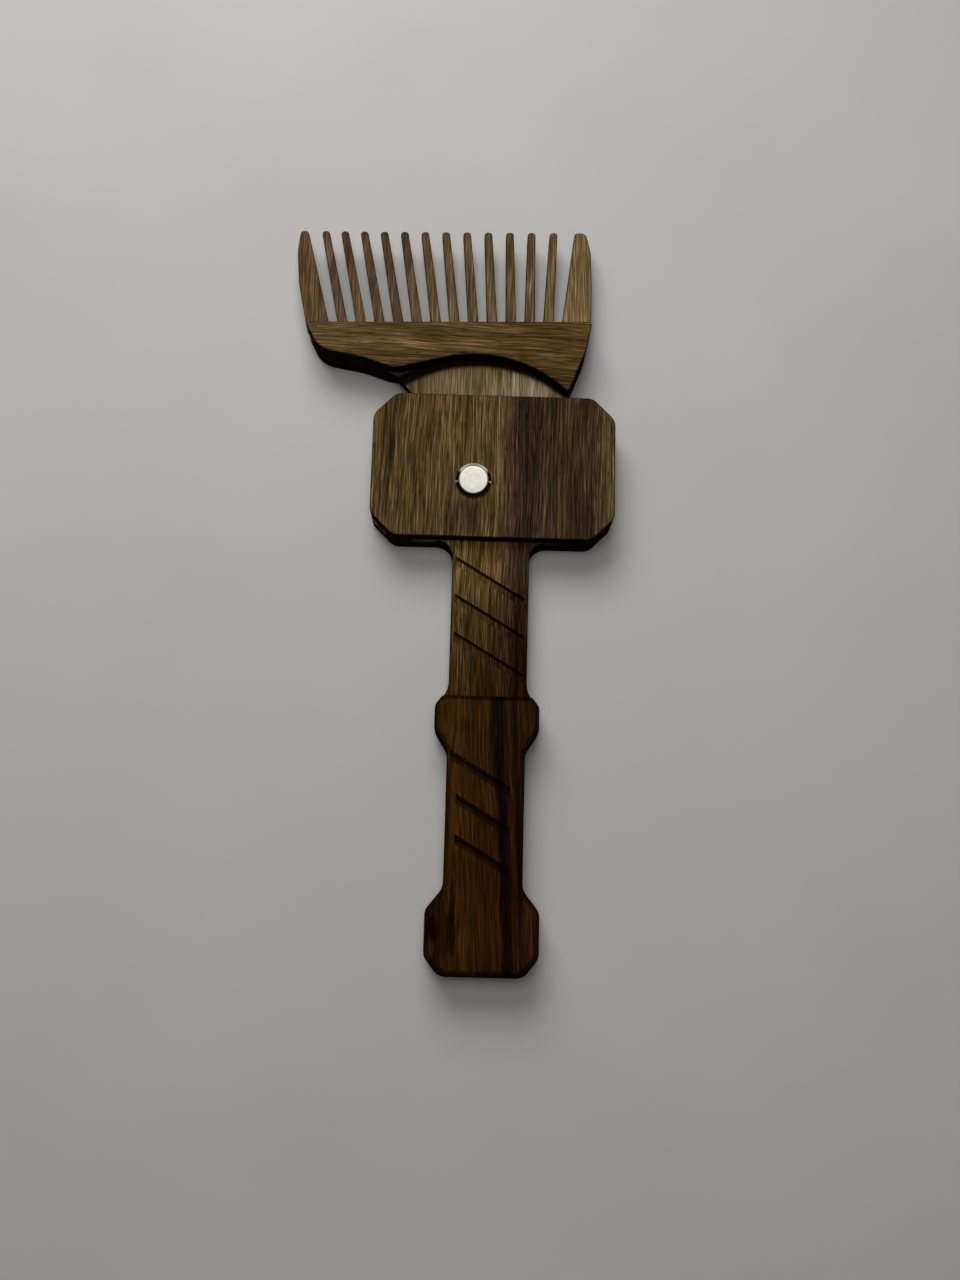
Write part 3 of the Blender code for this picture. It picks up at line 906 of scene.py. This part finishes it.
TOOTH_WOOD = Walnut(
    name="tooth_walnut",
    grain=Grain.ALONG,
    bands=(
        (-53, Tone.RUSSET), (-46, Tone.HAZEL), (-40, Tone.RUSSET), (-35, Tone.ROSE),
        (-29, Tone.HAZEL), (-24, Tone.ROSE), (-18, Tone.KHAKI), (-13, Tone.ASH), (-7, Tone.SAP),
        (-2, Tone.SAP), (4, Tone.SAP), (9, Tone.KHAKI), (15, Tone.WHEAT), (23, Tone.STRAW),
        (32, Tone.HONEY),
    ),
    # The stops up to 33 mm lighten the neck: painted light against the shade that the spine plates
    # cast on it.
    lengths=(
        (6, (0.76, 0.82, 1.04)), (23, (0.73, 0.77, 0.92)), (33, (0.82, 0.86, 0.97)),
        (40, (0.62, 0.64, 0.7)), (51, (0.59, 0.6, 0.65)), (60, (0.52, 0.53, 0.55)),
        (75, (0.5, 0.5, 0.5)),
    ),
    streaks=(
        Streak(-45, 0.8, Tone.DUSK, 0.45, drift=-0.16, start=40, end=80),
        Streak(-40, 0.7, Tone.DUSK, 0.4, drift=-0.16, start=40, end=80),
        Streak(-30, 0.9, Tone.DUSK, 0.35, drift=-0.1, start=40, end=80),
    ),
    # The chalk patches on the neck are partly pale wood and partly painted light against the spine
    # plates' shade.
    knots=(
        Knot((23, 17), (9, 10), Tone.CHALK, 0.6), Knot((9.5, 24), (7, 12), Tone.CHALK, 0.8),
        Knot((2, 18), (14, 6), Tone.CHALK, 0.3), Knot((-20, 22), (9, 12), Tone.ROSE, 0.5),
        Knot((9.3, 47), (2.5, 7), Tone.TAN, 0.6), Knot((-52, 64), (5, 9), Tone.HONEY, 0.4),
    ),
    # A near-black painted shadow on the neck along the spine plates' arc.
    arc_shadows=(ArcShadow(centre=(-4.3, -6.5), radius=37.1, fade=1.5, tone=Tone.SCORCHED),),
    seed=140,
    wave=0.6,
    fibre=5,
    strand=1.3,
    figure=0.4,
    pores=0.6,
)

SPINE_WOOD = Walnut(
    name="spine_walnut",
    grain=Grain.ACROSS,
    bands=(
        (22, Tone.UMBER), (30, Tone.TAN), (33, Tone.GOLD), (36, Tone.TAN), (40, Tone.GOLD),
        (45, Tone.TAN),
    ),
    lengths=(
        (-60, (0.64, 0.67, 0.78)), (-35, (0.6, 0.61, 0.67)), (-12, (0.52, 0.52, 0.53)),
        (28, (0.51, 0.49, 0.42)),
    ),
    streaks=(
        Streak(40.5, 0.8, Tone.HONEY, 0.6, drift=-0.06, start=-50, end=-12),
        Streak(32.5, 0.7, Tone.HONEY, 0.35, drift=-0.05, start=-28, end=20),
        Streak(38, 0.5, Tone.DUSK, 0.35, drift=-0.03, start=-40, end=25),
    ),
    seed=20,
    slant=-0.03,
    wave=1.1,
    fibre=5.5,
    strand=1.6,
)

HAMMER_WOOD = Walnut(
    name="hammer_walnut",
    grain=Grain.ALONG,
    bands=(
        (-33, Tone.STRAW), (-31, Tone.TAN), (-27, Tone.TAN), (-25.5, Tone.GOLD), (-18, Tone.TAN),
        (-12, Tone.GOLD), (-8, Tone.TAN), (-3, Tone.GOLD), (3, Tone.TAN), (5, Tone.PLUM),
        (8.5, Tone.DUSK), (12, Tone.MULBERRY), (26, Tone.MULBERRY), (31, Tone.SAP),
    ),
    lengths=((-22, (0.53, 0.54, 0.6)), (0, (0.54, 0.545, 0.585)), (20, (0.52, 0.53, 0.54))),
    streaks=(
        Streak(-28, 1.1, Tone.BARK, 0.7, drift=0.05, start=-6, end=10, fade=8, core=0.5),
        Streak(-30, 0.5, Tone.BARK, 0.5, drift=0.02, start=-20, end=24),
        Streak(-4.2, 0.6, Tone.HONEY, 0.7),
        Streak(1.2, 0.5, Tone.HONEY, 0.6, drift=0.01),
        Streak(26.8, 0.45, Tone.BARK, 0.5, drift=0.01),
        Streak(28.9, 0.4, Tone.BARK, 0.45, drift=0.012),
        Streak(-10.5, 0.5, Tone.DUSK, 0.35, drift=0.06),
        Streak(-7.7, 4.8, Tone.PLUM, 0.75, drift=0.02, start=-24, end=-10, fade=1.2, core=0.8),
        Streak(9.2, 1.1, Tone.DUSK, 0.5, start=-24, end=-8, fade=5),
        Streak(19, 2.2, Tone.UMBER, 0.5, start=-24, end=24, core=0.5),
    ),
    knots=(Knot((-4.5, -20.3), (7, 0.9), Tone.EMBER, 0.5),),
    slant=0.01,
    wave=0.7,
    pores=1.5,
)

HANDLE_WOOD = Walnut(
    name="handle_walnut",
    grain=Grain.ALONG,
    bands=(
        (-12, Tone.TAN), (-8, Tone.TAN), (-1, Tone.UMBER), (4, Tone.PLUM), (7, Tone.DUSK),
        (10, Tone.DUSK),
    ),
    # The core darkens towards the grip and lightens towards the hammer; by the hammer this is
    # painted light against the shade its front plate casts.
    lengths=(
        (-70, (0.28, 0.24, 0.15)), (-60, (0.33, 0.28, 0.18)), (-46, (0.42, 0.43, 0.37)),
        (-33, (0.81, 0.83, 0.77)), (-20, (1.2, 1.23, 1.16)),
    ),
    streaks=(
        Streak(7.5, 0.8, Tone.BARK, 0.5),
        Streak(-7.5, 0.6, Tone.ROSE, 0.4),
    ),
    seed=75,
    wave=0.7,
    knots=(
        Knot((7, -35.4), (2.6, 1.1), Tone.BARK, 0.6),
        Knot((6.6, -45.6), (2.6, 1.1), Tone.BARK, 0.5),
    ),
    grooves=(Grooves(floor=7.8, top=-30.1, tone=Tone.OILED_BLACK, share=0.25, upper_shadow=0.7),),
)

GRIP_WOOD = Walnut(
    name="grip_walnut",
    grain=Grain.ALONG,
    bands=(
        (-19, Tone.OILED), (-15, Tone.OILED_TAN), (-9, Tone.OILED_TAN), (-6, Tone.OILED),
        (-2.2, Tone.OILED), (-1.4, Tone.OILED_DARK), (-0.3, Tone.OILED_BLACK),
        (1, Tone.OILED_DARK), (2.4, Tone.OILED), (3.6, Tone.OILED_DARK), (5.2, Tone.OILED),
        (8, Tone.OILED), (11, Tone.OILED_TAN),
    ),
    lengths=(
        (-136, (0.4, 0.36, 0.38)), (-128, (0.61, 0.55, 0.52)), (-110, (0.58, 0.51, 0.55)),
        (-90, (0.62, 0.6, 0.65)), (-74, (0.62, 0.67, 0.68)), (-64.2, (0.56, 0.6, 0.72)),
        (-63.95, (0.2, 0.16, 0.16)), (-63, (0.2, 0.16, 0.16)),
    ),
    streaks=(
        Streak(-0.4, 1.3, Tone.OILED_BLACK, 0.5, start=-112, end=-76, fade=8),
        Streak(3.9, 0.5, Tone.OILED_BLACK, 0.4, start=-130, end=-60),
        Streak(5.6, 0.4, Tone.OILED_BLACK, 0.35, start=-110, end=-60),
    ),
    knots=(
        Knot((-11.3, -124), (5, 11), Tone.OILED_DARK, 0.7),
        Knot((-12.3, -123), (1.8, 3.6), Tone.OILED_BLACK, 0.85),
        Knot((-7.8, -122), (1, 12), Tone.OILED_BLACK, 0.8),
        Knot((-13.6, -129), (1.6, 4), Tone.OILED_TAN, 0.6),
        Knot((-10, -115), (1, 2.6), Tone.OILED_BLACK, 0.4),
        Knot((-6, -71), (3.4, 2), Tone.OILED_DARK, 0.3),
        Knot((13, -125), (4, 11), Tone.OILED_TAN, 0.25),
    ),
    slant=-0.05,
    seed=210,
    fibre=4.5,
    pores=0.5,
    edge=Tone.OILED_BLACK,
    edge_share=0.5,
    grooves=(Grooves(floor=12, top=-83.4, tone=Tone.OILED_BLACK, share=0.62, upper_shadow=0.35),),
    roughness=0.42,
)


@dataclass
class Comb:
    """The turning half: the tooth plate between its two spine plates."""

    body: str = "comb"

    def build(self) -> None:
        """Makes and dresses the three plies."""
        spine = SPINE_WOOD.make()
        Bench.lay(self.body, (
            ("tooth_plate", "toothed_ply", TOOTH_WOOD.make(), "tooth_wood"),
            ("spine_front_plate", "spine_face", spine, "spine_wood"),
            ("spine_back_plate", "spine_back", spine, "spine_wood"),
        ))


@dataclass
class HammerAndHandle:
    """The fixed half: the block, the handle and the grip, three plies thick."""

    body: str = "handle"

    def build(self) -> None:
        """Makes and dresses the four plies."""
        hammer = HAMMER_WOOD.make()
        Bench.lay(self.body, (
            ("core", "handle_core", HANDLE_WOOD.make(), "handle_wood"),
            ("back_plate", "handle_back", hammer, "hammer_wood"),
            ("hammer_front_plate", "hammer_face", hammer, "hammer_wood"),
            ("grip_front_plate", "grip_face", GRIP_WOOD.make(), "grip_wood"),
        ))


@dataclass
class Pivot:
    """The turned pivot: the barrel with its head in front, and the screw behind."""

    body: str = "handle"
    centre: tuple[float, float] = PIVOT
    flat_radius: float = 0.0038
    head_radius: float = 0.00485
    head_top: float = 0.0135
    head_bottom: float = 0.0127
    rim: float = 0.0002
    softened: float = 0.00004
    shoulder: float = 0.0005
    shoulder_steps: int = 5
    sleeve_radius: float = 0.0025
    sleeve_end: float = 0.0016
    bore_radius: float = 0.0018
    bore_end: float = 0.009
    screw_radius: float = 0.0015
    screw_top: float = 0.0087
    screw_head_radius: float = 0.0045
    screw_head_chamfer: float = 0.0003
    screw_seat: float = 0.0014
    screw_sink: float = 0.0002
    slot_width: float = 0.001
    slot_depth: float = 0.0005
    slot_radii: float = 3
    smooth_angle: float = 30

    def build(self) -> None:
        """Makes and dresses barrel and screw."""
        steel = TurnedSteel().make()
        Bench.dress(self._barrel(), steel, self.body, "pivot_metal", "pivot_barrel")
        Bench.dress(self._screw(), steel, self.body, "pivot_metal", "pivot_screw")

    def _barrel(self) -> bpy.types.Object:
        """Turns the barrel from the middle of its flat to the bottom of its bore.

        Returns:
            The barrel.
        """
        soft = self.softened
        barrel = Bench.turn("pivot_head", self.centre, (
            (self.flat_radius / 2, self.head_top),
            *self._shoulder(),
            (self.head_radius - soft, self.head_bottom + self.rim + soft),
            (self.head_radius, self.head_bottom + self.rim - soft),
            (self.head_radius, self.head_bottom + soft),
            (self.head_radius - soft, self.head_bottom),
            (self.sleeve_radius, self.head_bottom),
            (self.sleeve_radius, self.sleeve_end),
            (self.bore_radius, self.sleeve_end),
            (self.bore_radius, self.bore_end),
        ))
        Bench.smooth(barrel, self.smooth_angle)
        return barrel

    def _shoulder(self) -> list[tuple[float, float]]:
        """The rings of the soft turn from the flat into the bevel.

        Returns:
            The rings, from the flat outwards.
        """
        run = self.head_radius - self.flat_radius
        slope = (self.head_top - self.head_bottom - self.rim) / run
        rings = []
        for step in range(self.shoulder_steps + 1):
            share = step / self.shoulder_steps
            out = self.flat_radius + (share - 1 / 2) * self.shoulder
            rings.append((out, self.head_top - slope * self.shoulder * share * share / 2))
        return rings

    def _screw(self) -> bpy.types.Object:
        """Turns the screw from the end of its shank to its head, and saws its slot.

        Returns:
            The screw.
        """
        inner = self.screw_head_radius - self.screw_head_chamfer
        screw = Bench.turn("back_screw", self.centre, (
            (self.screw_radius, self.screw_top),
            (self.screw_radius, self.screw_seat),
            (self.screw_head_radius, self.screw_seat),
            (self.screw_head_radius, self.screw_sink + self.screw_head_chamfer),
            (inner, self.screw_sink),
            (inner / 2, self.screw_sink),
        ))
        length = self.slot_radii * self.screw_head_radius
        middle = (*self.centre, self.screw_sink)
        Bench.saw(screw, middle, (length, self.slot_width, 2 * self.slot_depth))
        Bench.smooth(screw, self.smooth_angle)
        return screw


@dataclass(frozen=True)
class Lamp:
    """A soft lamp that looks at the comb."""

    name: str
    place: tuple[float, float, float]
    size: tuple[float, float]
    power: float
    target: tuple[float, float, float] = (0, 0, 0)

    def hang(self) -> None:
        """Hangs the lamp."""
        bpy.ops.object.light_add(type="AREA", location=self.place)
        lamp = bpy.context.active_object
        lamp.name = self.name
        lamp.data.shape = "RECTANGLE"
        lamp.data.size, lamp.data.size_y = self.size
        lamp.data.energy = self.power
        way = Vector(self.target) - Vector(self.place)
        lamp.rotation_euler = way.to_track_quat("-Z", "Y").to_euler()
        lamp.visible_camera = False
        lamp.visible_glossy = False


@dataclass
class PhotoCamera:
    """The camera, from what the photograph of 960 by 1280 pixels shows of its own perspective."""

    image_middle: tuple[float, float] = (480, 640)
    image_height: float = 1280
    focal_length: float = 1400
    straight_down: tuple[float, float] = (460.5, 916)
    handle_vanishing_x: float = 670.5
    pivot_pixel: tuple[float, float] = (473.4, 481.4)
    pivot_distance: float = 0.378
    pivot_place: tuple[float, float, float] = (*PIVOT, 0.012)
    film: float = 36
    nearest: float = 0.01

    def _ray(self, pixel: tuple[float, float]) -> Vector:
        """The way a pixel looks, on the camera's axes of right, up and back.

        Args:
            pixel: The pixel's places to the right and down.

        Returns:
            The way, one unit deep.
        """
        right = (pixel[0] - self.image_middle[0]) / self.focal_length
        down = (pixel[1] - self.image_middle[1]) / self.focal_length
        return Vector((right, -down, -1))

    def build(self) -> None:
        """Sets up the camera."""
        up = -self._ray(self.straight_down).normalized()
        sideways = (self.handle_vanishing_x - self.image_middle[0]) / self.focal_length
        ahead = Vector((sideways, (up.z - sideways * up.x) / up.y, -1)).normalized()
        turn = Matrix((ahead.cross(up), ahead, up))
        place = Vector(self.pivot_place) - turn @ self._ray(self.pivot_pixel) * self.pivot_distance
        bpy.ops.object.camera_add(location=place, rotation=turn.to_euler())
        camera = bpy.context.active_object
        camera.name = "camera"
        camera.data.sensor_width = self.film
        camera.data.lens = self.film * self.focal_length / self.image_height
        camera.data.clip_start = self.nearest
        bpy.context.scene.camera = camera


@dataclass
class Studio:
    """The floor and the light.

    A dome step is a start, an end and a change of the light that steel mirrors, from the side of
    the dome towards its middle.
    """

    floor_size: float = 6
    floor_drop: float = 0.0001
    floor_colour: str = "AEADA9"
    sky: str = "F4F2EC"
    backdrop: float = 0.55
    sky_strength: float = 0.065
    horizon_strength: float = 0.004
    dome_tilt: float = math.radians(37)
    dome_steps: tuple[tuple[float, float, float], ...] = (
        (0.705, 0.745, 0.45), (0.775, 0.8, -0.4), (0.88, 0.93, 1.08),
    )
    glint: tuple[float, float, float] = (0.846, 0.22, 0.485)
    glint_reach: tuple[float, float] = (0.996, 0.9995)
    glint_strength: float = 0.5
    lamps: tuple[Lamp, ...] = (
        Lamp("window", (-0.11, 0.33, 0.42), (0.35, 0.35), 2.5),
        Lamp("ceiling", (-0.03, -0.02, 0.8), (0.35, 0.35), 1.9),
    )

    def build(self) -> None:
        """Lays the floor, hangs the lamps and sets the sky."""
        bpy.ops.mesh.primitive_plane_add(size=self.floor_size, location=(0, 0, -self.floor_drop))
        floor = bpy.context.active_object
        floor.name = "floor"
        pale = tuple(part * self.backdrop for part in ink(self.sky))
        floor.data.materials.append(Matt("pale_floor", self.floor_colour, pale).make())
        for lamp in self.lamps:
            lamp.hang()
        self._sky()
        bpy.context.scene.view_settings.view_transform = "Standard"

    def _sky(self) -> None:
        """Sets a dim even sky that looks pale; steel mirrors it as a dome with bright parts."""
        world = bpy.data.worlds.new("sky")
        bpy.context.scene.world = world
        graph = Graph(world)
        aside, ahead, height = graph.parts(graph.node("ShaderNodeTexCoord", {}, "Generated"))
        towards = ahead * math.sin(self.dome_tilt) + height * math.cos(self.dome_tilt)
        glint = abs(aside) * self.glint[0] + ahead * self.glint[1] + height * self.glint[2]
        dome = self.horizon_strength + glint.step(*self.glint_reach) * self.glint_strength
        for start, end, change in self.dome_steps:
            dome = dome + towards.step(start, end) * change
        seen = graph.node("ShaderNodeLightPath", {}, "Is Camera Ray")
        through = graph.node("ShaderNodeLightPath", {}, "Is Transmission Ray")
        mirrored = graph.node("ShaderNodeLightPath", {}, "Is Glossy Ray")
        strength = self.sky_strength + mirrored * (dome - self.sky_strength)
        clear = seen + through - seen * through
        graph.give("Background", {
            "Color": (*ink(self.sky), 1),
            "Strength": strength + clear * (self.backdrop - strength),
        })


def main() -> None:
    """Builds the comb, its studio and its camera."""
    logging.basicConfig(level=logging.INFO, format="%(name)s: %(message)s")
    for part in (Comb(), HammerAndHandle(), Pivot(), Studio(), PhotoCamera()):
        part.build()
        LOG.info("%s is done", type(part).__name__)


if __name__ == "__main__":
    main()
